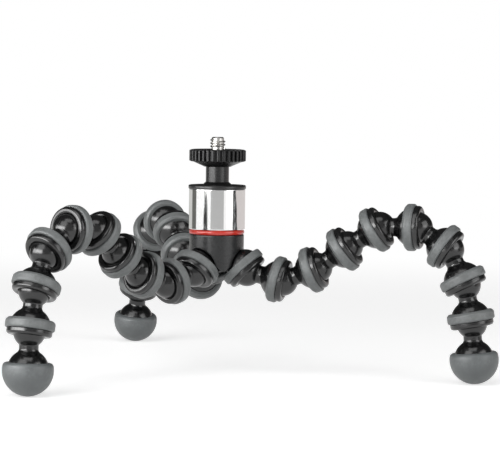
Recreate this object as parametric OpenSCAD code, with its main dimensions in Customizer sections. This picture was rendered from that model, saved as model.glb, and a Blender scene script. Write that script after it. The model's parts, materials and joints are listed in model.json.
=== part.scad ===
// Flexible leg tripod: a ball head with a lock sleeve, on a hub that carries three chains of ball links.
// Millimetres, +Z up. The origin is on the head's axis, at the foot of the camera stud, level with the
// top of the lock wheel. Leg a runs along +X, leg b is 120 degrees on from it and leg c 240 degrees.

/* [Camera stud and lock wheel] */
// Radius of the 1/4 inch camera stud
stud_r = 3.175; // [2.5:0.005:4]
// Height of the stud above the wheel
stud_h = 5; // [3:0.5:8]
// Radius of the plain shank that the wheel turns on
shank_r = 3.6; // [3.3:0.1:4.2]
// Radius of the lock wheel over its ribs
wheel_r = 11.6; // [10:0.1:15]
// Height of the wheel's ribbed band
wheel_h = 5.1; // [3.5:0.1:8]
// Height of the taper under the band
wheel_taper_h = 2; // [1.4:0.1:3]
// Radius at the lower end of the taper
wheel_taper_r = 5.6; // [5.3:0.1:9.8]
// Number of ribs round the wheel
wheel_ribs = 33; // [24:1:40]
// Radius of one rib
wheel_rib_r = 0.6; // [0.4:0.05:0.7]

/* [Stem and head ball] */
// Radius of the head ball
head_ball_r = 8; // [7.6:0.1:8.2]
// Radius of the stem
stem_r = 4.75; // [4.4:0.05:5]
// Length of stem and ball that shows between the cap and the wheel
stem_show = 7.5; // [6.5:0.1:14]
// Height of the ball's fillet up the stem
stem_fillet_h = 1.4; // [0.8:0.1:2]
// Polar angle on the ball where the fillet starts
stem_fillet_angle = 42; // [40:1:43]
// How far the stem reaches into the wheel
stem_seat = 1.2; // [0.6:0.1:1.4]
// Depth of the ball's centre below the top of the cap
ball_depth = 5.2; // [4.6:0.1:5.6]

/* [Lock sleeve, cap and accent ring] */
// Outer radius of the top cap
cap_r = 11.8; // [11.2:0.1:13]
// Thickness of the cap's flange
cap_h = 1.6; // [1.2:0.1:2.4]
// Radius of the cap's conical mouth at its top
cap_mouth_r = 9; // [8.6:0.1:10]
// Height above the ball's centre where the mouth starts
cap_mouth_z = 3.25; // [3:0.05:3.5]
// Reach of the cap below the ball's centre
cap_reach = 0.5; // [0.2:0.1:1]
// Gap between the cap and the hub's neck, taken up when the sleeve is tightened
clamp_gap = 0.5; // [0.2:0.1:1]
// Outer radius of the lock sleeve
sleeve_r = 11.5; // [11.2:0.1:13]
// Wall of the lock sleeve
sleeve_wall = 1.7; // [1:0.1:1.9]
// Height of the lock sleeve
sleeve_h = 16.5; // [14:0.1:24]
// Outer radius of the accent ring
accent_r = 11.3; // [10.8:0.1:13]
// Height of the accent ring
accent_h = 2; // [1:0.1:3]

/* [Hub] */
// Outer radius of the hub
hub_r = 11.2; // [10.6:0.1:12]
// Height of the hub from the accent ring to the tips of its webs
hub_h = 14.7; // [12:0.1:20]
// Wall of the hub's neck inside the sleeve
neck_wall = 1.3; // [0.8:0.1:1.4]
// Thickness of the ball seat under the ball
seat_floor = 1.5; // [1:0.1:2.5]
// Depth of the seat's lip below the ball's centre
seat_lip = 4; // [3:0.1:5]
// Distance of the root sockets' centres from the axis
root_out = 13; // [12.8:0.1:16]
// Drop of the root sockets' centres below the hub's top
root_drop = 14.9; // [13:0.1:17]
// Tilt of the root sockets below the horizontal
root_tilt = 47; // [44:1:50]
// Radius of the spigot that holds a root socket in the hub
spigot_r = 2.2; // [1.5:0.1:2.6]
// Length of that spigot
spigot_len = 4; // [2:0.1:5]

/* [Links] */
// Distance between the ball and the socket of one link
link_pitch = 15.5; // [15.2:0.1:20]
// Radius of a joint's ball
joint_ball_r = 6.2; // [5.7:0.05:6.4]
// Radius of a link's neck
neck_r = 3.7; // [2.8:0.1:3.9]
// Outer radius of a grip ring
ring_r = 9.5; // [9:0.1:9.8]
// Thickness of a grip ring, down to the groove that it sits in
ring_wall = 2.4; // [2.2:0.1:2.6]
// Width of a grip ring
ring_w = 3.1; // [2.8:0.1:4]
// Rounding of a grip ring's outer edges
ring_round = 1.3; // [0.4:0.1:1.35]
// Distance of a grip ring's middle behind the ball's centre
ring_back = 2.2; // [2:0.1:2.6]
// How much smaller the dome behind a socket is than the ring's outer radius
dome_step = 1.4; // [1:0.1:1.6]
// Distance of the dome's centre behind the ball's centre
dome_back = 1.2; // [0.9:0.1:1.8]
// Step from the ring's outer radius down to the socket's rim
rim_step = 0.8; // [0.5:0.1:1.9]
// Reach of the rim beyond the ball's centre
rim_reach = 1.7; // [1.4:0.05:1.8]
// Bevel on the rim's outer edge
rim_bevel = 0.6; // [0.2:0.1:0.8]
// Radius of the socket's flared mouth at the rim's face
mouth_r = 6.7; // [6.4:0.1:7.1]
// Depth of that flare
mouth_depth = 0.35; // [0.2:0.05:0.6]

/* [Feet] */
// Distance from the ball to the centre of a foot's rubber cap
foot_reach = 14.6; // [14:0.1:20]
// Outer radius of the rubber cap
foot_r = 9.8; // [9:0.1:10.5]
// Wall of the rubber cap
foot_wall = 1.7; // [1:0.1:2]
// Height of the cap's edge above its centre
foot_edge = 3; // [2:0.1:4]
// Bevel on the outside of the cap's edge
foot_bevel = 1.2; // [0.4:0.1:1.4]

/* [Pose] */
// Slopes above the horizontal of leg a's eight links and foot, from the hub outwards
leg_a_slopes = [-13, 22, 36, 32, 1, -33, -63, -79, -85]; // [-90:1:90]
// Slopes of leg b, whose trimmed link is turned to stand level with leg a
leg_b_slopes = [-22, 11, 28, 36, 8, -25, -56, -65, -80]; // [-90:1:90]
// Slopes of leg c, whose trimmed link is turned to stand level with leg a
leg_c_slopes = [-14, 17, 34, 37, 4, -31, -64, -77, -86]; // [-90:1:90]
// Headings in plan of leg a's eight links and foot, off the line that it leaves the hub on
leg_a_headings = [0, -1, -1, -2, -3, -5, -6, -8, -10]; // [-45:1:45]
// Headings of leg b
leg_b_headings = [0, 0, 1, 2, 3, 6, 8, 11, 15]; // [-45:1:45]
// Headings of leg c
leg_c_headings = [0, 0, 1, 3, 5, 8, 12, 17, 22]; // [-45:1:45]
// The link that is turned to stand the legs level
trimmed_link = 6; // [6:1:6]

/* [Clearances] */
// Gap between a ball and its socket
joint_gap = 0.1; // [0.05:0.01:0.15]
// Gap between pieces that turn on each other
turn_gap = 0.1; // [0.05:0.01:0.15]
// Gap between pieces that are pressed together
seat_gap = 0.05; // [0.02:0.01:0.08]
// Shadow gap between the hub and a root socket's dome
dome_gap = 0.5; // [0.2:0.05:0.8]
// Room in the hub round a root socket's grip ring
ring_room = 0.6; // [0.3:0.1:1]

/* [Hidden] */
$fn = 96;
eps = 0.01;
link_count = len(leg_a_slopes) - 1;
leg_names = ["a", "b", "c"];
legs = [for (i = [0 : len(leg_names) - 1]) i];
leg_step = 360 / len(leg_names);

// Heights on the head's axis
wheel_bottom_z = -wheel_h - wheel_taper_h;
stem_top_z = wheel_bottom_z + stem_seat;
cap_top_z = wheel_bottom_z - stem_show;
ball_z = cap_top_z - ball_depth;
sleeve_top_z = cap_top_z - cap_h;
accent_top_z = sleeve_top_z - sleeve_h - turn_gap;
hub_top_z = accent_top_z - accent_h;
hub_bottom_z = hub_top_z - hub_h;
root_z = hub_top_z - root_drop;

// Radii that follow from the fits in the head
wheel_core_r = wheel_r - wheel_rib_r;
sleeve_bore_r = sleeve_r - sleeve_wall;
hub_neck_r = sleeve_bore_r - turn_gap;
hub_bore_r = hub_neck_r - neck_wall;
cap_spigot_z = ball_z - cap_reach;
hub_neck_top_z = cap_spigot_z - clamp_gap;
seat_r = hub_bore_r - turn_gap;
seat_bottom_z = ball_z - head_ball_r - seat_floor;

// Sizes that follow from the fits in a link
socket_r = joint_ball_r + joint_gap;
ring_seat_r = ring_r - ring_wall;
dome_r = ring_r - dome_step;
rim_r = ring_r - rim_step;
ring_back_z = -ring_back - ring_w / 2;
ring_front_z = -ring_back + ring_w / 2;
foot_dome_r = foot_r - foot_wall - seat_gap;

// Length of the room round a root ring, which runs out of the hub on every side
recess_len = hub_h + 2 * hub_r;

// Pose of the legs: a link's slope and heading, and where its ball lies, with the leg leaving along +X
slopes = [leg_a_slopes, leg_b_slopes, leg_c_slopes];
headings = [leg_a_headings, leg_b_headings, leg_c_headings];
function reach(k) = k > link_count ? foot_reach : link_pitch;
function rise(list, k, upto) = k > upto ? 0 : reach(k) * sin(list[k - 1]) + rise(list, k + 1, upto);
function leg_rise(leg) = rise(slopes[leg], 1, link_count + 1);
function trimmed_slope(leg) =
    asin(sin(slopes[leg][trimmed_link - 1]) + (leg_rise(0) - leg_rise(leg)) / reach(trimmed_link));
function slope(leg, k) =
    k == trimmed_link ? trimmed_slope(leg) : slopes[leg][k - 1];
function heading(leg, k) = headings[leg][k - 1];
function along(slope, heading) = [cos(slope) * cos(heading), cos(slope) * sin(heading), sin(slope)];
function ball_at(leg, k) =
    k == 1 ? [root_out, 0, root_z]
    : ball_at(leg, k - 1) + reach(k - 1) * along(slope(leg, k - 1), heading(leg, k - 1));

// Node names
function link_node(leg, k) = str("leg_", leg_names[leg], "_link_", k);
function ring_node(leg, k) = str("leg_", leg_names[leg], "_ring_", k);
function foot_node(leg) = str("leg_", leg_names[leg], "_foot");
HEAD_NODES = [
    "hub_shell", "root_sockets", "root_grip_rings", "accent_ring", "lock_sleeve",
    "top_cap", "ball_seat", "head_ball", "lock_wheel"
];

// Puts a shape that runs along +Z in a root socket's place, with its origin at the socket's centre
module at_root(leg) {
    rotate([0, 0, leg * leg_step])
        translate([root_out, 0, root_z])
            rotate([0, 90 + root_tilt, 0]) children();
}

// Puts a link that runs along +Z from its ball in its place on the leg
module at_link(leg, k) {
    rotate([0, 0, leg * leg_step])
        translate(ball_at(leg, k))
            rotate([0, 90 - slope(leg, k), heading(leg, k)]) children();
}

// The head: pieces on the main axis

module lock_wheel() {
    color("#1c1c1d") difference() {
        union() {
            translate([0, 0, -wheel_h]) linear_extrude(wheel_h) {
                circle(r = wheel_core_r);
                for (i = [0 : wheel_ribs - 1])
                    rotate(i * 360 / wheel_ribs) translate([wheel_core_r, 0]) circle(r = wheel_rib_r);
            }
            translate([0, 0, wheel_bottom_z])
                cylinder(h = wheel_taper_h + eps, r1 = wheel_taper_r, r2 = wheel_core_r);
        }
        translate([0, 0, wheel_bottom_z - eps]) {
            cylinder(h = 2 * eps - wheel_bottom_z, r = shank_r + turn_gap);
            cylinder(h = stem_seat + turn_gap + eps, r = stem_r + turn_gap);
        }
    }
}

module head_ball() {
    fillet_z = head_ball_r * cos(stem_fillet_angle);
    color("#202021") union() {
        translate([0, 0, ball_z]) sphere(r = head_ball_r);
        translate([0, 0, ball_z]) cylinder(h = stem_top_z - ball_z, r = stem_r);
        translate([0, 0, ball_z + fillet_z])
            cylinder(h = stem_fillet_h, r1 = head_ball_r * sin(stem_fillet_angle), r2 = stem_r);
        translate([0, 0, stem_top_z - eps]) cylinder(h = -stem_top_z + eps, r = shank_r);
        cylinder(h = stud_h, r = stud_r);
    }
}

module top_cap() {
    mouth_start_r = sqrt(pow(head_ball_r + turn_gap, 2) - pow(cap_mouth_z, 2));
    color("#151515") difference() {
        union() {
            translate([0, 0, sleeve_top_z]) cylinder(h = cap_h, r = cap_r);
            translate([0, 0, cap_spigot_z])
                cylinder(h = sleeve_top_z - cap_spigot_z + eps, r = sleeve_bore_r - seat_gap);
        }
        translate([0, 0, ball_z]) sphere(r = head_ball_r + turn_gap);
        translate([0, 0, cap_spigot_z - eps])
            cylinder(h = ball_z - cap_spigot_z + eps, r = head_ball_r + turn_gap);
        translate([0, 0, ball_z + cap_mouth_z])
            cylinder(h = ball_depth - cap_mouth_z + eps, r1 = mouth_start_r, r2 = cap_mouth_r);
    }
}

module lock_sleeve() {
    color("#d8d8da") translate([0, 0, sleeve_top_z - sleeve_h]) difference() {
        cylinder(h = sleeve_h, r = sleeve_r);
        translate([0, 0, -eps]) cylinder(h = sleeve_h + 2 * eps, r = sleeve_bore_r);
    }
}

module accent_ring() {
    color("#d8402f") translate([0, 0, hub_top_z]) difference() {
        cylinder(h = accent_h, r = accent_r);
        translate([0, 0, -eps]) cylinder(h = accent_h + 2 * eps, r = hub_neck_r + seat_gap);
    }
}

module ball_seat() {
    color("#e9e6df") difference() {
        translate([0, 0, seat_bottom_z]) cylinder(h = ball_z - seat_lip - seat_bottom_z, r = seat_r);
        translate([0, 0, ball_z]) sphere(r = head_ball_r + turn_gap);
    }
}

// The hub and its root sockets

module hub_shell() {
    color("#3b3c3e") difference() {
        union() {
            translate([0, 0, hub_bottom_z]) cylinder(h = hub_h, r = hub_r);
            translate([0, 0, hub_top_z - eps])
                cylinder(h = hub_neck_top_z - hub_top_z + eps, r = hub_neck_r);
        }
        translate([0, 0, seat_bottom_z - turn_gap])
            cylinder(h = hub_neck_top_z - seat_bottom_z + turn_gap + eps, r = hub_bore_r);
        for (leg = legs) at_root(leg) root_recess();
    }
}

// What a root socket takes out of the hub: its dome, its spigot and the room round its grip ring
module root_recess() {
    translate([0, 0, -dome_back]) rotate([90, 0, 0]) sphere(r = dome_r + dome_gap);
    translate([0, 0, -dome_back - dome_r - spigot_len - seat_gap])
        cylinder(h = dome_r + spigot_len, r = spigot_r + seat_gap);
    translate([0, 0, ring_back_z - ring_room]) cylinder(h = recess_len, r = ring_r + ring_room);
}

module root_socket() {
    color("#161616") difference() {
        union() {
            socket_shell();
            translate([0, 0, -dome_back - dome_r - spigot_len])
                cylinder(h = spigot_len + dome_r, r = spigot_r);
        }
        socket_hollow();
    }
}

module root_sockets() {
    for (leg = legs) at_root(leg) root_socket();
}

module root_grip_rings() {
    for (leg = legs) at_root(leg) ring_on_socket();
}

// The legs: one link, its grip ring and the foot

// A socket's dome, ring groove and rim, round the socket's centre and open along +Z
module socket_shell() {
    intersection() {
        translate([0, 0, -dome_back]) sphere(r = dome_r);
        translate([0, 0, -2 * dome_r]) cylinder(h = 2 * dome_r + ring_back_z, r = dome_r);
    }
    translate([0, 0, ring_back_z - eps]) cylinder(h = ring_w + 2 * eps, r = ring_seat_r);
    translate([0, 0, ring_front_z]) cylinder(h = rim_reach - rim_bevel - ring_front_z + eps, r = rim_r);
    translate([0, 0, rim_reach - rim_bevel]) cylinder(h = rim_bevel, r1 = rim_r, r2 = rim_r - rim_bevel);
}

// The hollow that takes the next ball, with its flared mouth
module socket_hollow() {
    flare_z = rim_reach - mouth_depth;
    sphere(r = socket_r);
    translate([0, 0, flare_z])
        cylinder(h = mouth_depth + eps, r1 = sqrt(pow(socket_r, 2) - pow(flare_z, 2)), r2 = mouth_r);
}

module ring_on_socket() {
    color("#77797b") rotate_extrude() ring_outline();
}

// Half section of a grip ring, with its rounded outer edges
module ring_outline() {
    width = ring_w - 2 * seat_gap;
    wall = ring_wall - seat_gap;
    translate([ring_r - wall, -ring_back - width / 2]) intersection() {
        square([wall, width]);
        union() {
            square([wall - ring_round, width]);
            translate([0, ring_round]) square([wall, width - 2 * ring_round]);
            for (z = [ring_round, width - ring_round])
                translate([wall - ring_round, z]) circle(r = ring_round);
        }
    }
}

// The ball and neck at the hub end of a link or foot
module joint_ball(neck_len) {
    sphere(r = joint_ball_r);
    cylinder(h = neck_len, r = neck_r);
}

module link() {
    color("#161616") difference() {
        union() {
            joint_ball(link_pitch - socket_r - eps);
            translate([0, 0, link_pitch]) socket_shell();
        }
        translate([0, 0, link_pitch]) socket_hollow();
    }
}

module grip_ring() {
    translate([0, 0, link_pitch]) ring_on_socket();
}

module foot_link() {
    color("#161616") union() {
        joint_ball(foot_reach);
        translate([0, 0, foot_reach]) sphere(r = foot_dome_r);
    }
}

module foot_cap() {
    bevel_z = foot_bevel - foot_edge;
    bevel_r = sqrt(pow(foot_r, 2) - pow(bevel_z, 2));
    color("#6f7173") translate([0, 0, foot_reach]) difference() {
        intersection() {
            sphere(r = foot_r);
            union() {
                translate([0, 0, -foot_edge])
                    cylinder(h = foot_bevel, r1 = bevel_r - foot_bevel, r2 = bevel_r);
                translate([0, 0, bevel_z]) cylinder(h = 2 * foot_r, r = 2 * foot_r);
            }
        }
        sphere(r = foot_r - foot_wall);
    }
}

module foot() {
    foot_link();
    foot_cap();
}

hub_shell();
root_sockets();
root_grip_rings();
accent_ring();
lock_sleeve();
top_cap();
ball_seat();
head_ball();
lock_wheel();
for (leg = legs) {
    for (k = [1 : link_count]) {
        at_link(leg, k) link();
        at_link(leg, k) grip_ring();
    }
    at_link(leg, link_count + 1) foot();
}
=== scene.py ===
"""Dresses the flexible leg tripod: its mouldings, rubber, metal finishes, studio and camera."""

import json
import math

import bmesh
import bpy
from mathutils import Matrix, Vector


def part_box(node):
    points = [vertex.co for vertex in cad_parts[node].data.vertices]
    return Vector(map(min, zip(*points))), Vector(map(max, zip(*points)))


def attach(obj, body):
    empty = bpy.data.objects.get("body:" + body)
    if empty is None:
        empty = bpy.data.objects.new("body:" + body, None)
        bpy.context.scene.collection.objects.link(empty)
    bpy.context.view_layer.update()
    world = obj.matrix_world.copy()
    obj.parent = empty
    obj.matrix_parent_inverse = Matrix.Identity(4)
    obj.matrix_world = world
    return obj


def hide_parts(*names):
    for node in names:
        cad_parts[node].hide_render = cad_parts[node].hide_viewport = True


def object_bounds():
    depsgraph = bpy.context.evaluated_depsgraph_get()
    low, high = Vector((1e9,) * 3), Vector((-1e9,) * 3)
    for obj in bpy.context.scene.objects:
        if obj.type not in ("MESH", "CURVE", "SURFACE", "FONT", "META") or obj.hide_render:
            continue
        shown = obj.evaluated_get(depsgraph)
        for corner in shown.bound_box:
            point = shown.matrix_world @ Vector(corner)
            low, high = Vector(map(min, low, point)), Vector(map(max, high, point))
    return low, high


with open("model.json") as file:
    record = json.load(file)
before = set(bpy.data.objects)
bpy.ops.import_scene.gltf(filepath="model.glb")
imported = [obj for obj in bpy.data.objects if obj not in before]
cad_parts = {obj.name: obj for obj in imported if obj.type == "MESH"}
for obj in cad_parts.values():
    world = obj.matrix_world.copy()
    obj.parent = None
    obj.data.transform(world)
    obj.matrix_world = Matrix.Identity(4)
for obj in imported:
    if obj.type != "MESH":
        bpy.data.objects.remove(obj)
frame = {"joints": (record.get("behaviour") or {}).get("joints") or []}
cad_low, cad_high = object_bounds()

MM = 0.001
LEGS = "abc"
LINKS = 8

# Fineness of the turned shapes
TURN_STEPS = 96
FINE_STEPS = 2 * TURN_STEPS
CORNER_STEPS = 6
SUPPORT = 0.12

# Camera stud and lock wheel; all sizes are in millimetres
STUD_R = 3.175
STUD_H = 5.0
STUD_FOOT_Z = -0.3
STUD_TIP_H = 0.45
STUD_TIP_IN = 0.4
THREAD_PITCH = 1.27
THREAD_DEPTH = 0.62
THREAD_SUNK = 0.05
THREAD_STEPS = 48
SHANK_R = 3.6
WHEEL_R = 11.6
WHEEL_H = 5.1
WHEEL_TAPER_H = 2.0
WHEEL_TAPER_R = 5.6
WHEEL_TAPER_EDGE = (0.25, 0.2)
WHEEL_RIBS = 33
RIB_DEPTH = 1.15
RIB_RISE = (0.0, 0.0, 0.0, 0.85, 1.0, 1.0, 1.0, 0.85)
WHEEL_EDGE = 0.45
WHEEL_EDGE_DROP = 0.12

# Stem, head ball and its seat
HEAD_BALL_R = 8.0
STEM_R = 4.75
STEM_SEAT = 1.2
BALL_DEPTH = 5.2
SEAT_FLOOR = 1.5
SEAT_LIP = 4.0
SEAT_ROUND = 0.3

# Lock sleeve, cap and accent ring
STEM_SHOW = 7.5
CAP_R = 11.8
CAP_H = 1.6
CAP_MOUTH_R = 9.0
CAP_MOUTH_Z = 3.25
CAP_REACH = 0.5
CAP_TOP_ROUND = 0.55
CAP_UNDER_ROUND = 0.4
SLEEVE_R = 11.5
SLEEVE_WALL = 1.7
SLEEVE_H = 16.5
ACCENT_R = 11.3
ACCENT_H = 2.0
ACCENT_ROUND = 0.85

# Hub
HUB_R = 11.2
HUB_H = 14.7
NECK_WALL = 1.3
CLAMP_GAP = 0.5
ROOT_TILT = 47.0
HUB_VOXEL = 0.2
HUB_SOFTENING = 5

# Links
JOINT_BALL_R = 6.2
NECK_R = 3.7
BALL_BLEND = 0.35
NECK_BLEND = 0.9
DOME_R = 8.1
DOME_BACK = 1.2
RIM_R = 8.7
RIM_REACH = 1.7
RIM_ROUND = 1.15
MOUTH_R = 6.7
MOUTH_DEPTH = 0.35
MOUTH_ROUND = 0.3
RING_R = 9.5
RING_W = 3.1
RING_ROUND = 0.8
RING_BACK_ROUND = 0.4
RING_LIP = 0.9
ROOT_LIP = 0.4
RING_BACK = 2.2
RING_SEAT_R = 7.1

# Feet
FOOT_REACH = 14.6
FOOT_R = 9.8
FOOT_WALL = 1.7
FOOT_EDGE = 3.0
FOOT_LIP_ROUND = 1.5
FOOT_LIP_BLEND = 1.2

# Small edge roundings that several pieces share
HAIR_EDGE = 0.1
FINE_EDGE = 0.15
SOFT_EDGE = 0.2
FULL_EDGE = 0.25

# Degrees that an arc stops short of its corner, which leaves room for the corner's rounding
MOUTH_LEAD = 3
BALL_LEAD = 4
FOOT_LEAD = 4
DOME_LEAD = 9

# Clearances
JOINT_GAP = 0.1
TURN_GAP = 0.1
SEAT_GAP = 0.05
DOME_GAP = 0.5
RING_ROOM = 1.1

# Heights on the head's axis
WHEEL_BOTTOM_Z = -WHEEL_H - WHEEL_TAPER_H
STEM_TOP_Z = WHEEL_BOTTOM_Z + STEM_SEAT
CAP_TOP_Z = WHEEL_BOTTOM_Z - STEM_SHOW
BALL_Z = CAP_TOP_Z - BALL_DEPTH
SLEEVE_TOP_Z = CAP_TOP_Z - CAP_H
SLEEVE_BOTTOM_Z = SLEEVE_TOP_Z - SLEEVE_H
ACCENT_TOP_Z = SLEEVE_BOTTOM_Z - TURN_GAP
HUB_TOP_Z = ACCENT_TOP_Z - ACCENT_H
HUB_BOTTOM_Z = HUB_TOP_Z - HUB_H

# Radii and heights that follow from the fits
SLEEVE_BORE_R = SLEEVE_R - SLEEVE_WALL
HUB_NECK_R = SLEEVE_BORE_R - TURN_GAP
HUB_BORE_R = HUB_NECK_R - NECK_WALL
HUB_NECK_TOP_Z = BALL_Z - CAP_REACH - CLAMP_GAP
HEAD_HOLLOW_R = HEAD_BALL_R + TURN_GAP
SEAT_BOTTOM_Z = BALL_Z - HEAD_BALL_R - SEAT_FLOOR
SOCKET_R = JOINT_BALL_R + JOINT_GAP
RING_BACK_Z = -RING_BACK - RING_W / 2
RING_FRONT_Z = -RING_BACK + RING_W / 2


# Places of the leg joints, from the frame

hinges = {j["name"]: j for j in frame["joints"]}


def joint_spot(leg, k):
    return Vector(hinges[f"leg_{leg}_joint_{k}"]["pos_m"])


pitch = (joint_spot("a", 2) - joint_spot("a", 1)).length / MM


# Modelling helpers


def across(radius, height):
    """Radius of a sphere's section at a height from its centre."""
    return math.sqrt(radius**2 - height**2)


def polar(radius, height):
    """Angle from +Z, in degrees, at which a sphere is at a height from its centre."""
    return math.degrees(math.acos(height / radius))


def lean(radius, reach):
    """Angle from +Z, in degrees, at which a sphere is at a distance from its axis."""
    return math.degrees(math.asin(reach / radius))


def arc(centre_z, radius, start, end, steps=14):
    """One arc of an outline about a point on the axis; angles are from +Z, in degrees."""
    return {"z": centre_z, "r": radius, "start": start, "end": end, "steps": steps}


def support(path, closed):
    """Adds a point just past each end of every long straight wall, so that its shading stays true."""
    grown = []
    pairs = list(zip(path, path[1:] + path[:1]))
    for here, after in pairs if closed else pairs[:-1]:
        grown.append(here)
        if isinstance(here, dict) or isinstance(after, dict):
            continue
        wall = Vector((after[0] - here[0], after[1] - here[1]))
        near = SUPPORT + (here[2] if len(here) > 2 else 0.0)
        far = SUPPORT + (after[2] if len(after) > 2 else 0.0)
        if wall.length > near + far + SUPPORT:
            along = wall.normalized()
            grown.append((here[0] + along.x * near, here[1] + along.y * near))
            grown.append((after[0] - along.x * far, after[1] - along.y * far))
    return grown if closed else grown + path[-1:]


def sweep(bm, geom, axis, angle, steps, centre=(0, 0, 0), rise=0.0, merge=False):
    """Spins points or an outline about an axis and returns the far end; rise is the lift of each step."""
    swept = bmesh.ops.spin(
        bm, geom=geom, cent=centre, axis=axis, dvec=(0, 0, rise), angle=angle, steps=steps,
        use_merge=merge, use_normal_flip=False, use_duplicate=False,
    )
    return swept["geom_last"]


def draw_outline(bm, path, closed=False):
    """Draws a half outline in the XZ plane from corners (r, z), rounded corners (r, z, round) and arcs."""
    first, last, rounded = None, None, []
    for step in support(path, closed):
        if isinstance(step, dict):
            angle = math.radians(step["start"])
            spot = (step["r"] * math.sin(angle), 0.0, step["z"] + step["r"] * math.cos(angle))
        else:
            spot = (step[0], 0.0, step[1])
        point = bm.verts.new(spot)
        if last:
            bm.edges.new((last, point))
        first = first or point
        last = point
        if isinstance(step, dict):
            turn = math.radians(step["end"] - step["start"])
            end = sweep(bm, [point], (0, 1, 0), turn, step["steps"], centre=(0, 0, step["z"]))
            last = [g for g in end if isinstance(g, bmesh.types.BMVert)][0]
        elif len(step) > 2:
            rounded.append((point, step[2]))
    if closed:
        bm.edges.new((last, first))
    for point, setback in rounded:
        bmesh.ops.bevel(
            bm, geom=[point], offset=setback, offset_type="OFFSET", segments=CORNER_STEPS, profile=0.5,
            affect="VERTICES", material=-1,
        )


def turn_outline(bm, path, finish=0, closed=False, steps=TURN_STEPS):
    """Adds the skin that a half outline sweeps in one full turn about Z, in one finish."""
    old_verts, old_edges, old_faces = set(bm.verts), set(bm.edges), set(bm.faces)
    draw_outline(bm, path, closed)
    outline = [v for v in bm.verts if v not in old_verts]
    outline += [e for e in bm.edges if e not in old_edges]
    sweep(bm, outline, (0, 0, 1), math.tau, steps, merge=True)
    for face in bm.faces:
        if face not in old_faces:
            face.material_index = finish


def close_skin(bm):
    """Joins the zones of a turned piece, closes its poles and turns its faces outwards."""
    bmesh.ops.remove_doubles(bm, verts=bm.verts[:], dist=1e-4)
    bmesh.ops.recalc_face_normals(bm, faces=bm.faces[:])
    keep_own(bm)


def keep_own(bm):
    """Keeps each point's place on the piece's own axes, in millimetres, for the finishes to read."""
    own = bm.verts.layers.float_vector.new("own")
    for vert in bm.verts:
        vert[own] = vert.co
    for face in bm.faces:
        face.smooth = True


def mesh_from(name, bm):
    """A mesh from a bmesh, which is let go."""
    mesh = bpy.data.meshes.new(name)
    bm.to_mesh(mesh)
    bm.free()
    return mesh


def put(name, data):
    """A new object in the scene."""
    made = bpy.data.objects.new(name, data)
    bpy.context.scene.collection.objects.link(made)
    return made


def piece(name, bm, finishes, body, nodes, place=Matrix.Identity(4), sharp=38):
    """Makes a piece from a mesh in millimetres and sets it in its place on a body."""
    bmesh.ops.transform(bm, matrix=place @ Matrix.Scale(MM, 4), verts=bm.verts[:])
    mesh = mesh_from(name, bm)
    mesh.set_sharp_from_angle(angle=math.radians(sharp))
    for finish in finishes:
        mesh.materials.append(finish)
    made = put(name, mesh)
    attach(made, body)
    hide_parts(*nodes)


# Finishes

# The part of a noise's range that tone and gloss follow
NOISE_LOW = 0.3
NOISE_HIGH = 0.7

# Sizes of the clouds in a finish
MOULDED_CLOUD = 4.0
TURNED_CLOUD = 3.0
GLOSS_CLOUD = 1.6
SCUFF_CLOUD = 1.1

# Mould lines, and the bands that are rubbed on rims and grips
PARTING_W = 0.09
PARTING_H = 0.02
RIM_WEAR = 0.3
GRIP_WEAR = 0.35


def add_node(tree, kind, **values):
    """Adds a shader node, with values for its sockets or its settings."""
    made = tree.nodes.new(kind)
    for key, value in values.items():
        if key in made.inputs:
            made.inputs[key].default_value = value
        else:
            setattr(made, key, value)
    return made


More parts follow.
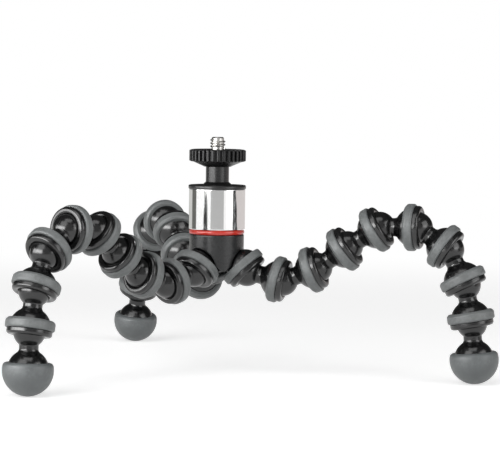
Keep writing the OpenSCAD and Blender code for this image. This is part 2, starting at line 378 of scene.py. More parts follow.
class Finish:
    """A procedural finish: one shader whose colour, roughness and relief come from noise on the piece."""

    def __init__(self, name, **fixed):
        self.material = bpy.data.materials.new(name)
        self.material.use_nodes = True
        self.tree = self.material.node_tree
        self.shader = self.tree.nodes["Principled BSDF"]
        self.where = self.tree.nodes.new("ShaderNodeTexCoord").outputs["Object"]
        self.relief = None
        for socket, value in fixed.items():
            self.shader.inputs[socket.replace("_", " ")].default_value = value

    def node(self, kind, **values):
        return add_node(self.tree, kind, **values)

    def link(self, source, target):
        self.tree.links.new(source, target)

    def noise(self, size, detail=3.0, stretch=(1, 1, 1)):
        """Noise whose features are about size millimetres."""
        unit = 1 / (size * MM)
        spread = self.node("ShaderNodeMapping")
        spread.inputs["Scale"].default_value = [unit * s for s in stretch]
        self.link(self.where, spread.inputs["Vector"])
        cloud = self.node("ShaderNodeTexNoise", Scale=1.0, Detail=detail, Roughness=0.55)
        self.link(spread.outputs["Vector"], cloud.inputs["Vector"])
        return cloud.outputs["Fac"]

    def own(self):
        return self.node("ShaderNodeAttribute", attribute_name="own").outputs["Vector"]

    def own_axis(self, axis):
        """One of the piece's own coordinates, in millimetres."""
        apart = self.node("ShaderNodeSeparateXYZ")
        self.link(self.own(), apart.inputs["Vector"])
        return apart.outputs[axis]

    def own_radius(self):
        """Distance from the piece's own axis, in millimetres."""
        flat = self.node("ShaderNodeVectorMath", operation="MULTIPLY")
        self.link(self.own(), flat.inputs[0])
        flat.inputs[1].default_value = (1.0, 1.0, 0.0)
        length = self.node("ShaderNodeVectorMath", operation="LENGTH")
        self.link(flat.outputs["Vector"], length.inputs[0])
        return length.outputs["Value"]

    def span(self, source, low, high, out_low=0.0, out_high=1.0):
        """Maps a source from one span to another, held at its ends."""
        ends = {"From Min": low, "From Max": high, "To Min": out_low, "To Max": out_high}
        ramp = self.node("ShaderNodeMapRange", clamp=True, **ends)
        self.link(source, ramp.inputs["Value"])
        return ramp.outputs["Result"]

    def maths(self, operation, first, second):
        made = self.node("ShaderNodeMath", operation=operation)
        for socket, value in zip(made.inputs, (first, second)):
            if isinstance(value, (int, float)):
                socket.default_value = value
            else:
                self.link(value, socket)
        return made.outputs["Value"]

    def mix(self, factor, first, second):
        """A colour between two colours, or between a made colour and a fixed one."""
        made = self.node("ShaderNodeMix", data_type="RGBA")
        self.link(factor, made.inputs["Factor"])
        for socket, value in ((made.inputs[6], first), (made.inputs[7], second)):
            if isinstance(value, tuple):
                socket.default_value = (*value, 1.0)
            else:
                self.link(value, socket)
        return made.outputs[2]

    def colour(self, source):
        self.link(source, self.shader.inputs["Base Color"])

    def roughness(self, source):
        self.link(source, self.shader.inputs["Roughness"])

    def raise_by(self, source, depth):
        """Adds relief of a depth in millimetres."""
        bump = self.node("ShaderNodeBump", Strength=1.0, Distance=depth * MM)
        self.link(source, bump.inputs["Height"])
        if self.relief:
            self.link(self.relief, bump.inputs["Normal"])
        self.relief = bump.outputs["Normal"]
        self.link(self.relief, self.shader.inputs["Normal"])


def shades(colour, swing):
    """A darker and a lighter shade of a colour."""
    return tuple(c * (1 - swing) for c in colour), tuple(c * (1 + swing) for c in colour)


def moulded(name, colour, swing, rough, grain, grain_depth, **fixed):
    """Moulded plastic or rubber: cloudy tone, uneven gloss and surface grain."""
    made = Finish(name, **fixed)
    tone = made.span(made.noise(MOULDED_CLOUD, 4.0), NOISE_LOW, NOISE_HIGH)
    made.tone = made.mix(tone, *shades(colour, swing))
    made.gloss = made.span(made.noise(GLOSS_CLOUD, 5.0), NOISE_LOW, NOISE_HIGH, *rough)
    made.colour(made.tone)
    made.roughness(made.gloss)
    made.raise_by(made.noise(grain, 2.0), grain_depth)
    return made


def parting_line(made):
    """The faint raised line where the halves of a mould met, in the piece's own XZ plane."""
    off_plane = made.maths("ABSOLUTE", made.own_axis("Y"), 0.0)
    made.raise_by(made.span(off_plane, PARTING_W / 2, PARTING_W, 1.0, 0.0), PARTING_H)


def scuffs(made, where, shade, rougher):
    """Worn places: broken patches of a lighter shade and duller gloss where a mask says so."""
    patches = made.span(made.noise(SCUFF_CLOUD, 6.0), 0.46, 0.62)
    worn = made.maths("MULTIPLY", where, patches)
    made.colour(made.mix(worn, made.tone, shade))
    made.roughness(made.maths("ADD", made.gloss, made.maths("MULTIPLY", worn, rougher)))


def link_finish(name, colour):
    """Black moulded plastic with a parting line, rubbed dull on the widest part of its rim."""
    made = moulded(name, colour, swing=0.2, rough=(0.18, 0.23), grain=0.5, grain_depth=0.0004,
                   Specular_IOR_Level=0.7)
    parting_line(made)
    rim_edge = made.span(made.own_radius(), RIM_R - RIM_WEAR, RIM_R)
    scuffs(made, rim_edge, shade=tuple(c * 2.2 for c in colour), rougher=0.05)
    return made.material


def grip_finish(name, colour, widest):
    """Grey rubber with a fine grain, paler and rubbed where it stands out most."""
    made = moulded(name, colour, swing=0.08, rough=(0.4, 0.52), grain=0.22, grain_depth=0.005,
                   Specular_IOR_Level=0.65)
    crest = made.span(made.own_radius(), widest - GRIP_WEAR, widest)
    scuffs(made, crest, shade=tuple(c * 1.18 for c in colour), rougher=0.1)
    return made.material


def machined(name, colour, swing, rough, line, line_depth, **fixed):
    """Turned metal: fine lines round its axis, with a cloudy tone and uneven gloss."""
    made = Finish(name, **fixed)
    tone = made.span(made.noise(TURNED_CLOUD, 4.0), NOISE_LOW, NOISE_HIGH)
    made.colour(made.mix(tone, *shades(colour, swing)))
    lines = made.noise(line, 2.0, stretch=(0.02, 0.02, 1.0))
    made.roughness(made.span(lines, NOISE_LOW, NOISE_HIGH, *rough))
    made.raise_by(lines, line_depth)
    return made.material


gloss_black = link_finish("gloss_black", (0.004, 0.0041, 0.0043))
satin_black = link_finish("satin_black", (0.005, 0.0051, 0.0053))
ring_rubber = grip_finish("ring_rubber", (0.155, 0.164, 0.164), RING_R)
foot_rubber = grip_finish("foot_rubber", (0.135, 0.146, 0.148), FOOT_R)
hub_grey = moulded(
    "hub_grey", (0.019, 0.0197, 0.0203), swing=0.12, rough=(0.24, 0.32), grain=0.16, grain_depth=0.004,
    Specular_IOR_Level=0.5,
).material
accent_red = moulded(
    "accent_red", (0.68, 0.044, 0.03), swing=0.06, rough=(0.09, 0.15), grain=0.5, grain_depth=0.001,
    Specular_IOR_Level=0.7,
).material
cap_black = moulded(
    "cap_black", (0.012, 0.012, 0.0122), swing=0.2, rough=(0.26, 0.36), grain=0.2, grain_depth=0.004,
    Specular_IOR_Level=0.6,
).material
seat_nylon = moulded(
    "seat_nylon", (0.72, 0.7, 0.64), swing=0.05, rough=(0.4, 0.55), grain=0.4, grain_depth=0.003,
    Specular_IOR_Level=0.5,
).material
sleeve_chrome = machined(
    "sleeve_chrome", (0.92, 0.92, 0.915), swing=0.015, rough=(0.06, 0.11), line=0.12, line_depth=0.0003,
    Metallic=1.0,
)
stem_anodised = machined(
    "stem_anodised", (0.008, 0.0083, 0.0086), swing=0.15, rough=(0.24, 0.32), line=0.1, line_depth=0.002,
    Specular_IOR_Level=0.6,
)
wheel_black = machined(
    "wheel_black", (0.006, 0.0062, 0.0064), swing=0.2, rough=(0.26, 0.36), line=0.1, line_depth=0.001,
    Specular_IOR_Level=0.4,
)
ball_black = machined(
    "ball_black", (0.007, 0.0071, 0.0073), swing=0.2, rough=(0.2, 0.3), line=0.1, line_depth=0.001,
    Specular_IOR_Level=0.6,
)
stud_steel = machined(
    "stud_steel", (0.56, 0.55, 0.53), swing=0.08, rough=(0.24, 0.36), line=0.08, line_depth=0.002,
    Metallic=1.0,
)


# The head: pieces on the main axis


def by_angle(verts):
    """Points in their order round the Z axis."""
    return sorted(verts, key=lambda v: math.atan2(v.co.y, v.co.x))


def lock_wheel():
    """The ribbed wheel: one ring of points drawn in bands over its face, ribs, cone and bore."""
    bm = bmesh.new()
    per_rib = len(RIB_RISE)
    ring = bmesh.ops.create_circle(bm, cap_ends=False, radius=1.0, segments=WHEEL_RIBS * per_rib)["verts"]
    groove_r = WHEEL_R - RIB_DEPTH
    shoulder_r = groove_r - 0.3 * WHEEL_EDGE
    bore_r = SHANK_R + TURN_GAP
    stem_hole_r = STEM_R + TURN_GAP
    stem_hole_z = STEM_TOP_Z + TURN_GAP
    taper_out, taper_up = WHEEL_TAPER_EDGE
    # Each band is a height, a radius and the share of the ribs' rise that shows there
    bands = (
        (0.0, bore_r, 0.0),
        (0.0, groove_r - 2.2 * WHEEL_EDGE, 0.0),
        (0.0, groove_r - WHEEL_EDGE, 0.0),
        (-WHEEL_EDGE_DROP, shoulder_r, 0.5),
        (-WHEEL_EDGE, groove_r, 1.0),
        (-WHEEL_EDGE - SUPPORT, groove_r, 1.0),
        (-WHEEL_H + WHEEL_EDGE + SUPPORT, groove_r, 1.0),
        (-WHEEL_H + WHEEL_EDGE, groove_r, 1.0),
        (-WHEEL_H + WHEEL_EDGE_DROP, shoulder_r, 0.55),
        (-WHEEL_H, groove_r - WHEEL_EDGE, 0.0),
        (WHEEL_BOTTOM_Z + taper_up, WHEEL_TAPER_R + taper_out, 0.0),
        (WHEEL_BOTTOM_Z, WHEEL_TAPER_R, 0.0),
        (WHEEL_BOTTOM_Z, stem_hole_r, 0.0),
        (stem_hole_z, stem_hole_r, 0.0),
        (stem_hole_z, bore_r, 0.0),
        (0.0, bore_r, 0.0),
    )
    row = by_angle(ring)
    for number, (height, radius, ribbed) in enumerate(bands):
        if number:
            here = set(row)
            edges = {e for v in row for e in v.link_edges if all(w in here for w in e.verts)}
            grown = bmesh.ops.extrude_edge_only(bm, edges=list(edges))["geom"]
            row = by_angle([g for g in grown if isinstance(g, bmesh.types.BMVert)])
        for i, vert in enumerate(row):
            reach = radius + RIB_DEPTH * ribbed * RIB_RISE[i % per_rib]
            flat = Vector((vert.co.x, vert.co.y, 0.0)).normalized() * reach
            vert.co = (flat.x, flat.y, height)
    close_skin(bm)
    piece("lock_wheel_ribbed", bm, [wheel_black], "wheel", ["lock_wheel"])


def head_ball():
    """The black ball, the turned stem that rises from it, the plain shank, and the threaded stud on top."""
    bm = bmesh.new()
    stem, stud, ball = range(3)
    core_r = STUD_R - THREAD_DEPTH
    stem_foot_z = BALL_Z + across(HEAD_BALL_R, STEM_R)
    turn_outline(bm, [arc(BALL_Z, HEAD_BALL_R, 180, lean(HEAD_BALL_R, STEM_R), 36)], ball)
    turn_outline(bm, [
        (STEM_R, stem_foot_z),
        (STEM_R, STEM_TOP_Z, SOFT_EDGE),
        (SHANK_R, STEM_TOP_Z),
        (SHANK_R, STUD_FOOT_Z, HAIR_EDGE),
        (core_r, STUD_FOOT_Z),
    ], stem)
    turn_outline(bm, [
        (core_r, STUD_FOOT_Z),
        (core_r, STUD_H - STUD_TIP_H),
        (core_r - STUD_TIP_IN, STUD_H),
        (0.0, STUD_H),
    ], stud)
    thread_ridge(bm, core_r - THREAD_SUNK, stud)
    close_skin(bm)
    finishes = [stem_anodised, stud_steel, ball_black]
    piece("head_ball_stem", bm, finishes, "ball", ["head_ball"])


def thread_ridge(bm, core_r, finish):
    """The stud's thread: a ridge swept up the core as a screw, with closed ends."""
    old_faces = set(bm.faces)
    half_root = 0.42 * THREAD_PITCH
    half_crest = 0.07 * THREAD_PITCH
    turns = (STUD_H - STUD_TIP_H - 0.9 * THREAD_PITCH) / THREAD_PITCH
    steps = int(THREAD_STEPS * turns)
    section = (
        (core_r, 0.0),
        (STUD_R, half_root - half_crest),
        (STUD_R, half_root + half_crest),
        (core_r, 2 * half_root),
    )
    points = [bm.verts.new((r, 0.0, z)) for r, z in section]
    start = bm.faces.new(points)
    turn = math.tau * steps / THREAD_STEPS
    sweep(bm, [start, *start.edges, *points], (0, 0, 1), turn, steps, rise=THREAD_PITCH / THREAD_STEPS)
    ridge = [f for f in bm.faces if f not in old_faces]
    bmesh.ops.recalc_face_normals(bm, faces=ridge)
    for face in ridge:
        face.material_index = finish


def top_cap():
    """The cap: a rounded flange, a spigot in the sleeve and a conical mouth."""
    bm = bmesh.new()
    spigot_r = SLEEVE_BORE_R - SEAT_GAP
    spigot_z = BALL_Z - CAP_REACH
    turn_outline(bm, [
        (CAP_MOUTH_R, CAP_TOP_Z, SOFT_EDGE),
        (CAP_R, CAP_TOP_Z, CAP_TOP_ROUND),
        (CAP_R, SLEEVE_TOP_Z, CAP_UNDER_ROUND),
        (spigot_r, SLEEVE_TOP_Z),
        (spigot_r, spigot_z, SOFT_EDGE),
        (HEAD_HOLLOW_R, spigot_z),
        arc(BALL_Z, HEAD_HOLLOW_R, 90, polar(HEAD_HOLLOW_R, CAP_MOUTH_Z), 8),
        (across(HEAD_HOLLOW_R, CAP_MOUTH_Z), BALL_Z + CAP_MOUTH_Z),
        (CAP_MOUTH_R, CAP_TOP_Z),
    ])
    close_skin(bm)
    piece("top_cap_flange", bm, [cap_black], "sleeve", ["top_cap"])


def lock_sleeve():
    """The plain polished sleeve, with softened edges."""
    bm = bmesh.new()
    turn_outline(bm, [
        (SLEEVE_BORE_R, SLEEVE_TOP_Z, FINE_EDGE),
        (SLEEVE_R, SLEEVE_TOP_Z, FULL_EDGE),
        (SLEEVE_R, SLEEVE_BOTTOM_Z, FULL_EDGE),
        (SLEEVE_BORE_R, SLEEVE_BOTTOM_Z, FINE_EDGE),
    ], closed=True, steps=FINE_STEPS)
    close_skin(bm)
    piece("lock_sleeve_shell", bm, [sleeve_chrome], "sleeve", ["lock_sleeve"])


def accent_ring():
    """The red ring between sleeve and hub, with a full round outside."""
    bm = bmesh.new()
    inner_r = HUB_NECK_R + SEAT_GAP
    turn_outline(bm, [
        (inner_r, ACCENT_TOP_Z, HAIR_EDGE),
        (ACCENT_R, ACCENT_TOP_Z, ACCENT_ROUND),
        (ACCENT_R, HUB_TOP_Z, ACCENT_ROUND),
        (inner_r, HUB_TOP_Z, HAIR_EDGE),
    ], closed=True, steps=FINE_STEPS)
    close_skin(bm)
    piece("accent_ring_band", bm, [accent_red], "hub", ["accent_ring"])


def ball_seat():
    """The cup under the ball, inside the hub's neck."""
    bm = bmesh.new()
    seat_r = HUB_BORE_R - TURN_GAP
    lip_z = BALL_Z - SEAT_LIP
    turn_outline(bm, [
        (0.0, SEAT_BOTTOM_Z),
        (seat_r, SEAT_BOTTOM_Z, SEAT_ROUND),
        (seat_r, lip_z, SOFT_EDGE),
        (across(HEAD_HOLLOW_R, SEAT_LIP), lip_z),
        arc(BALL_Z, HEAD_HOLLOW_R, 180 - polar(HEAD_HOLLOW_R, SEAT_LIP), 180),
    ])
    close_skin(bm)
    piece("ball_seat_cup", bm, [seat_nylon], "seat", ["ball_seat"])


# The legs

GLOSS, SATIN = range(2)
plastics = [gloss_black, satin_black]


def socket_rim(bm, centre_z):
    """A socket's rim with its flared mouth, and the hollow that takes the next ball."""
    flare_z = RIM_REACH - MOUTH_DEPTH
    lip = polar(SOCKET_R, flare_z)
    turn_outline(bm, [
        (RING_SEAT_R, centre_z + RING_FRONT_Z),
        (RIM_R, centre_z + RING_FRONT_Z, FULL_EDGE),
        (RIM_R, centre_z + RIM_REACH, RIM_ROUND),
        (MOUTH_R, centre_z + RIM_REACH, MOUTH_ROUND),
        (across(SOCKET_R, flare_z), centre_z + flare_z, HAIR_EDGE),
        arc(centre_z, SOCKET_R, lip + MOUTH_LEAD, 180, 20),
    ], SATIN)


def socket_dome(bm, centre_z, start, lead=()):
    """A socket's dome from a start angle to the groove that its grip ring sits in."""
    edge = polar(DOME_R, RING_BACK_Z + DOME_BACK)
    turn_outline(bm, [
        *lead,
        arc(centre_z - DOME_BACK, DOME_R, start, edge, 20),
        (RING_SEAT_R, centre_z + RING_BACK_Z),
        (RING_SEAT_R, centre_z + RING_FRONT_Z),
    ], GLOSS)


def ball_and_neck(bm, dome_z, dome_r):
    """The ball of a link or foot; returns the waist between it and a dome, and the dome's start angle."""
    ball_end = lean(JOINT_BALL_R, NECK_R) + BALL_LEAD
    turn_outline(bm, [arc(0.0, JOINT_BALL_R, 180, ball_end, 24)], SATIN)
    angle = math.radians(ball_end)
    waist = [
        (JOINT_BALL_R * math.sin(angle), JOINT_BALL_R * math.cos(angle)),
        (NECK_R, across(JOINT_BALL_R, NECK_R), BALL_BLEND),
        (NECK_R, dome_z - across(dome_r, NECK_R), NECK_BLEND),
    ]
    return waist, 180 - lean(dome_r, NECK_R) - DOME_LEAD


def link_blank():
    """The shape of every link: a satin ball and rim, with the waist and dome in gloss."""
    bm = bmesh.new()
    waist, dome_start = ball_and_neck(bm, pitch - DOME_BACK, DOME_R)
    socket_dome(bm, pitch, dome_start, waist)
    socket_rim(bm, pitch)
    close_skin(bm)
    return bm


def ring_blank(lip):
    """The shape of a grip ring about its socket's centre, with a chamfered lip over the dome's edge."""
    bm = bmesh.new()
    seat_r = RING_SEAT_R + SEAT_GAP
    back = RING_BACK_Z + SEAT_GAP
    front = RING_FRONT_Z - SEAT_GAP
    over = RING_BACK_Z - lip
    turn_outline(bm, [
        (seat_r, back),
        (across(DOME_R, back + DOME_BACK) + SEAT_GAP, back),
        (across(DOME_R, over + DOME_BACK) + SEAT_GAP, over),
        (RING_R - lip, over, FINE_EDGE),
        (RING_R, RING_BACK_Z, RING_BACK_ROUND),
        (RING_R, front, RING_ROUND),
        (seat_r, front),
    ], closed=True)
    close_skin(bm)
    return bm


def foot_blank():
    """The shape of a foot's moulding: its ball, waist and the dome inside the rubber cap."""
    bm = bmesh.new()
    dome_r = FOOT_R - FOOT_WALL - SEAT_GAP
    waist, dome_start = ball_and_neck(bm, FOOT_REACH, dome_r)
    turn_outline(bm, [*waist, arc(FOOT_REACH, dome_r, dome_start, 0, 30)], GLOSS)
    close_skin(bm)
    return bm


def foot_cap_blank():
    """The shape of a foot's rubber cap, with its rounded lip."""
    bm = bmesh.new()
    hollow_r = FOOT_R - FOOT_WALL
    edge_z = FOOT_REACH - FOOT_EDGE
    turn_outline(bm, [
        arc(FOOT_REACH, FOOT_R, 0, polar(FOOT_R, FOOT_LIP_ROUND - FOOT_EDGE), 30),
        (across(FOOT_R, FOOT_EDGE), edge_z, FOOT_LIP_BLEND),
        (across(hollow_r, FOOT_EDGE), edge_z, FULL_EDGE),
        arc(FOOT_REACH, hollow_r, polar(hollow_r, -FOOT_EDGE) - FOOT_LEAD, 0, 20),
    ])
    close_skin(bm)
    return bm


def aim(ball, tip):
    """The place of a link: from its ball towards its socket, with its own Y axis level."""
    along = (tip - ball).normalized()
    level = Vector((0, 0, 1)).cross(along).normalized()
    turned = Matrix((level.cross(along), level, along)).transposed().to_4x4()
    return Matrix.Translation(ball) @ turned


link_shape = link_blank()
ring_shape = ring_blank(RING_LIP)
root_ring_shape = ring_blank(ROOT_LIP)
foot_shape = foot_blank()
foot_cap_shape = foot_cap_blank()


def leg_pieces(leg):
    """One leg: eight links with their grip rings, then the foot with its rubber cap."""
    last = LINKS + 1
    for k in range(1, last):
        place = aim(joint_spot(leg, k), joint_spot(leg, k + 1))
        body = f"leg_{leg}_{k}"
        link = f"leg_{leg}_link_{k}"
        ring = f"leg_{leg}_ring_{k}"
        on_socket = place @ Matrix.Translation((0, 0, pitch * MM))
        piece(link + "_moulding", link_shape.copy(), plastics, body, [link], place)
        piece(ring + "_rubber", ring_shape.copy(), [ring_rubber], body, [ring], on_socket)
    foot = f"leg_{leg}_foot"
    low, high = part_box(foot)
    sole = Vector(((low.x + high.x) / 2, (low.y + high.y) / 2, low.z + FOOT_R * MM))
    place = aim(joint_spot(leg, last), sole)
    piece(foot + "_moulding", foot_shape.copy(), plastics, foot, [foot], place)
    piece(foot + "_cap", foot_cap_shape.copy(), [foot_rubber], foot, [foot], place)


# The hub and its root sockets


def root_place(leg):
    """The place of a root socket: its centre at the leg's first ball, opening down and outwards."""
    spot = joint_spot(leg, 1)
    outward = Vector((spot.x, spot.y, 0.0)).normalized()
    tilt = math.radians(ROOT_TILT)
    return aim(spot, spot + outward * math.cos(tilt) - Vector((0, 0, math.sin(tilt))))


def root_socket(leg):
    """A leg's first socket and its grip ring, fixed in the hub."""
    place = root_place(leg)
    bm = bmesh.new()
    socket_dome(bm, 0.0, 180)
    socket_rim(bm, 0.0)
    close_skin(bm)
    piece(f"root_socket_{leg}_moulding", bm, plastics, "hub", ["root_sockets"], place)
    ring = f"root_ring_{leg}_rubber"
    piece(ring, root_ring_shape.copy(), [ring_rubber], "hub", ["root_grip_rings"], place)


def root_recess(leg):
    """The two shapes that a root socket's recess is cut with: room for its dome and for its ring."""
    dome = bmesh.new()
    bmesh.ops.create_uvsphere(
        dome, u_segments=TURN_STEPS, v_segments=TURN_STEPS // 2, radius=DOME_R + DOME_GAP,
    )
    bmesh.ops.translate(dome, vec=(0, 0, -DOME_BACK), verts=dome.verts[:])
    room = bmesh.new()
    room_r = RING_R + RING_ROOM
    length = HUB_H + 2 * HUB_R
    bmesh.ops.create_cone(
        room, cap_ends=True, segments=TURN_STEPS, radius1=room_r, radius2=room_r, depth=length,
    )
    bmesh.ops.translate(room, vec=(0, 0, length / 2 + RING_BACK_Z - RING_ROOM), verts=room.verts[:])
    to_hub = Matrix.Scale(1 / MM, 4) @ root_place(leg) @ Matrix.Scale(MM, 4)
    for bm in (dome, room):
        bmesh.ops.transform(bm, matrix=to_hub, verts=bm.verts[:])
        yield put("hub_cutter", mesh_from("hub_cutter", bm))


def hub_shell():
    """The hub: a turned body with three recesses cut for the root sockets, its edges softened all over."""
    bm = bmesh.new()
    turn_outline(bm, [
        (0.0, HUB_BOTTOM_Z),
        (HUB_R, HUB_BOTTOM_Z),
        (HUB_R, HUB_TOP_Z, FULL_EDGE),
        (HUB_NECK_R, HUB_TOP_Z),
        (HUB_NECK_R, HUB_NECK_TOP_Z, SOFT_EDGE),
        (HUB_BORE_R, HUB_NECK_TOP_Z, SOFT_EDGE),
        (HUB_BORE_R, SEAT_BOTTOM_Z - TURN_GAP),
        (0.0, SEAT_BOTTOM_Z - TURN_GAP),
    ])
    close_skin(bm)
    blank = put("hub_blank", mesh_from("hub_blank", bm))
    helpers = [blank]
    for leg in LEGS:
        for tool in root_recess(leg):
            helpers.append(tool)
            cut = blank.modifiers.new("recess", "BOOLEAN")
            cut.operation = "DIFFERENCE"
            cut.solver = "EXACT"
            cut.object = tool
    even = blank.modifiers.new("even", "REMESH")
    even.mode = "VOXEL"
    even.voxel_size = HUB_VOXEL
    soft = blank.modifiers.new("soft", "SMOOTH")
    soft.factor = 0.5
    soft.iterations = HUB_SOFTENING
    bpy.context.view_layer.update()
    shaped = bpy.data.meshes.new_from_object(blank.evaluated_get(bpy.context.evaluated_depsgraph_get()))
    for helper in helpers:
        bpy.data.objects.remove(helper)
    bm = bmesh.new()
    bm.from_mesh(shaped)
    bpy.data.meshes.remove(shaped)
    keep_own(bm)
    piece("hub_shell_moulding", bm, [hub_grey], "hub", ["hub_shell"], sharp=60)


# Studio, in metres and degrees

VIEW_TURN = math.radians(14.46)
VIEW_DISTANCE = 0.93
VIEW_HEIGHT = 0.1164
VIEW_PITCH = math.radians(3.43)
VIEW_YAW = math.radians(0.84)
VIEW_ROLL = math.radians(-0.75)
FOCAL_PIXELS = 2269.0
PICTURE_WIDTH = 500.0
SENSOR = 36.0

LIGHT_AIM_HEIGHT = 0.05
ROOM_WHITE_TO = 0.08
ROOM_DARK_FROM = 0.22
ROOM_DARK = 0.1
FLOOR_R = 6.0
FLOOR_TONE = 0.72
FLOOR_LIFT = 0.62
FLOOR_NEAR = 0.2
FLOOR_FAR = 0.7

ground = cad_low.z
studio = Matrix.Rotation(VIEW_TURN, 4, "Z")


def set_camera():
    """The camera at the photograph's place: level with the sleeve, a little above the feet."""
    level = math.cos(VIEW_PITCH)
    forward = Vector((math.sin(VIEW_YAW) * level, math.cos(VIEW_YAW) * level, -math.sin(VIEW_PITCH)))
    right = forward.cross(Vector((0, 0, 1))).normalized()
    down = forward.cross(right).normalized()
    rolled_right = right * math.cos(VIEW_ROLL) + down * math.sin(VIEW_ROLL)
    rolled_up = rolled_right.cross(forward)
    axes = Matrix((rolled_right, rolled_up, -forward)).transposed().to_4x4()
    spot = Matrix.Translation((0.0, -VIEW_DISTANCE, ground + VIEW_HEIGHT))
    data = bpy.data.cameras.new("view")
    data.sensor_fit = "HORIZONTAL"
    data.sensor_width = SENSOR
    data.lens = SENSOR * FOCAL_PIXELS / PICTURE_WIDTH
    data.clip_start = 0.01
    data.clip_end = 50.0
    view = put("view", data)
    view.matrix_world = studio @ spot @ axes
    bpy.context.scene.camera = view


def around(azimuth, distance, height):
    """A place round the tripod: azimuth 0 is at the camera, positive to its right, over the floor."""
    angle = math.radians(azimuth)
    return studio @ Vector((distance * math.sin(angle), -distance * math.cos(angle), ground + height))


def softbox(name, azimuth, height, distance, width, tall, radiance):
    """A soft area light that faces the tripod."""
    middle = Vector((0.0, 0.0, ground + LIGHT_AIM_HEIGHT))
    spot = around(azimuth, distance, height)
    data = bpy.data.lights.new(name, "AREA")
    data.shape = "RECTANGLE"
    data.size = width
    data.size_y = tall
    data.energy = radiance * math.pi * width * tall
    lamp = put(name, data)
    lamp.location = spot
    lamp.rotation_euler = (middle - spot).to_track_quat("-Z", "Y").to_euler()


def glow_card(name, colour):
    """The even glow of a reflector card."""
    glowing = bpy.data.materials.new(name)
    glowing.use_nodes = True
    tree = glowing.node_tree
    glow = add_node(tree, "ShaderNodeEmission", Color=(*colour, 1.0))
    tree.links.new(glow.outputs["Emission"], tree.nodes["Material Output"].inputs["Surface"])
    return glowing


def card(name, start, end, distance, top, colour, bottom=0.0):
    """A curved card between two azimuths and two heights over the floor, which only reflections see."""
    bm = bmesh.new()
    foot_point = bm.verts.new(around(start, distance, bottom))
    top_point = bm.verts.new(around(start, distance, top))
    edge = bm.edges.new((foot_point, top_point))
    sweep(bm, [edge, foot_point, top_point], (0, 0, 1), math.radians(end - start), 12)
    mesh = mesh_from(name, bm)
    mesh.materials.append(glow_card(name, colour))
    made = put(name, mesh)
    made.visible_camera = False
    made.visible_diffuse = False
    made.visible_shadow = False


def wire(tree, *links):
    """Links pairs of shader sockets."""
    for source, target in links:
        tree.links.new(source, target)


def seen_directly(tree):
    """One for camera, mirror and glass rays, nought for the rays that carry light."""
    path = tree.nodes.new("ShaderNodeLightPath")
    total = path.outputs["Is Camera Ray"]
    for ray in ("Is Glossy Ray", "Is Transmission Ray"):
        most = add_node(tree, "ShaderNodeMath", operation="MAXIMUM")
        wire(tree, (total, most.inputs[0]), (path.outputs[ray], most.inputs[1]))
        total = most.outputs["Value"]
    return total


def smooth_fade(tree, start, end, **ends):
    """A soft step between two values of its input."""
    limits = {"From Min": start, "From Max": end, **ends}
    return add_node(tree, "ShaderNodeMapRange", interpolation_type="SMOOTHSTEP", **limits)


def set_world():
    """A room that is white up to eye level and darkens towards the ceiling."""
    world = bpy.data.worlds.new("studio")
    bpy.context.scene.world = world
    world.use_nodes = True
    tree = world.node_tree
    back = tree.nodes["Background"]
    back.inputs["Color"].default_value = (1.0, 1.0, 1.0, 1.0)
    where = tree.nodes.new("ShaderNodeTexCoord")
    apart = tree.nodes.new("ShaderNodeSeparateXYZ")
    fade = smooth_fade(tree, ROOM_WHITE_TO, ROOM_DARK_FROM, **{"To Min": 1.0, "To Max": ROOM_DARK})
    wire(
        tree,
        (where.outputs["Generated"], apart.inputs["Vector"]),
        (apart.outputs["Z"], fade.inputs["Value"]),
        (fade.outputs["Result"], back.inputs["Strength"]),
    )


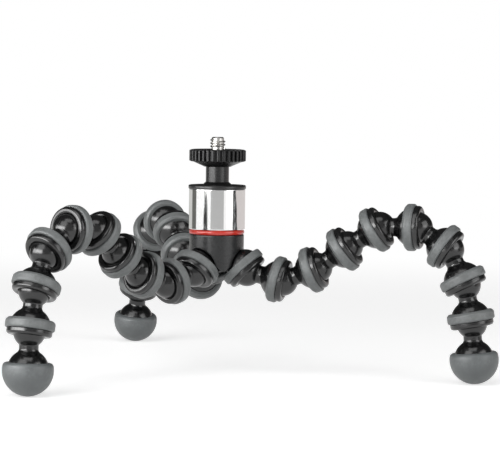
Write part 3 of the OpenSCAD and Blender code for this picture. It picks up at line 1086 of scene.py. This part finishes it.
def floor_finish():
    """White to the eye with soft shadows near the tripod, and one with the white room further off."""
    finish = bpy.data.materials.new("floor_white")
    finish.use_nodes = True
    tree = finish.node_tree
    shader = tree.nodes["Principled BSDF"]
    shader.inputs["Base Color"].default_value = (FLOOR_TONE, FLOOR_TONE, FLOOR_TONE, 1.0)
    shader.inputs["Roughness"].default_value = 0.9
    shader.inputs["Specular IOR Level"].default_value = 0.0
    where = tree.nodes.new("ShaderNodeTexCoord")
    length = add_node(tree, "ShaderNodeVectorMath", operation="LENGTH")
    fade = smooth_fade(tree, FLOOR_NEAR, FLOOR_FAR)
    lift = add_node(tree, "ShaderNodeMath", operation="MULTIPLY")
    lift.inputs[1].default_value = FLOOR_LIFT
    lifted = tree.nodes.new("ShaderNodeEmission")
    lit = tree.nodes.new("ShaderNodeAddShader")
    glow = tree.nodes.new("ShaderNodeEmission")
    blend = tree.nodes.new("ShaderNodeMixShader")
    wire(
        tree,
        (seen_directly(tree), lift.inputs[0]),
        (lift.outputs["Value"], lifted.inputs["Strength"]),
        (shader.outputs["BSDF"], lit.inputs[0]),
        (lifted.outputs["Emission"], lit.inputs[1]),
        (where.outputs["Object"], length.inputs[0]),
        (length.outputs["Value"], fade.inputs["Value"]),
        (fade.outputs["Result"], blend.inputs["Fac"]),
        (lit.outputs["Shader"], blend.inputs[1]),
        (glow.outputs["Emission"], blend.inputs[2]),
        (blend.outputs["Shader"], tree.nodes["Material Output"].inputs["Surface"]),
    )
    return finish


def set_floor():
    """A plain pale floor under the feet."""
    bm = bmesh.new()
    bmesh.ops.create_circle(bm, cap_ends=True, segments=TURN_STEPS, radius=FLOOR_R)
    bmesh.ops.translate(bm, vec=(0, 0, ground), verts=bm.verts[:])
    mesh = mesh_from("floor", bm)
    mesh.materials.append(floor_finish())
    put("floor", mesh)


set_camera()
set_world()
set_floor()

softbox("left_low_box", azimuth=-46, height=0.18, distance=0.58, width=0.5, tall=0.2, radiance=3.8)
softbox("left_high_box", azimuth=-40, height=0.5, distance=0.58, width=0.56, tall=0.4, radiance=2.2)
softbox("right_box", azimuth=60, height=0.3, distance=0.6, width=0.46, tall=0.4, radiance=2.2)
softbox("top_box", azimuth=-8, height=0.74, distance=0.3, width=0.55, tall=0.34, radiance=1.8)

card("left_panel", start=-92, end=-26, distance=0.8, top=0.34, colour=(6.5, 6.5, 6.5), bottom=0.07)
card("right_panel", start=40, end=68, distance=0.8, top=0.3, colour=(1.8, 1.8, 1.8), bottom=0.02)
card("camera_side", start=-26, end=28, distance=0.7, top=0.7, colour=(0.47, 0.47, 0.47))
card("left_line", start=-53.2, end=-50.6, distance=0.5, top=0.1, colour=(0.3, 0.3, 0.3))
card("left_gap", start=-122, end=-94, distance=0.5, top=0.14, colour=(0.14, 0.14, 0.13))
card("left_back", start=-170, end=-122, distance=0.5, top=0.1, colour=(0.62, 0.62, 0.6))
card("right_line", start=68, end=82, distance=0.5, top=0.12, colour=(0.012, 0.012, 0.013))
card("right_back", start=82, end=176, distance=0.5, top=0.1, colour=(0.66, 0.62, 0.61))
card("dark_back", start=100, end=260, distance=0.75, top=1.1, colour=(0.06, 0.06, 0.06))

lock_wheel()
head_ball()
top_cap()
lock_sleeve()
accent_ring()
ball_seat()
hub_shell()
for leg in LEGS:
    root_socket(leg)
    leg_pieces(leg)

bpy.context.scene.view_settings.view_transform = "Standard"
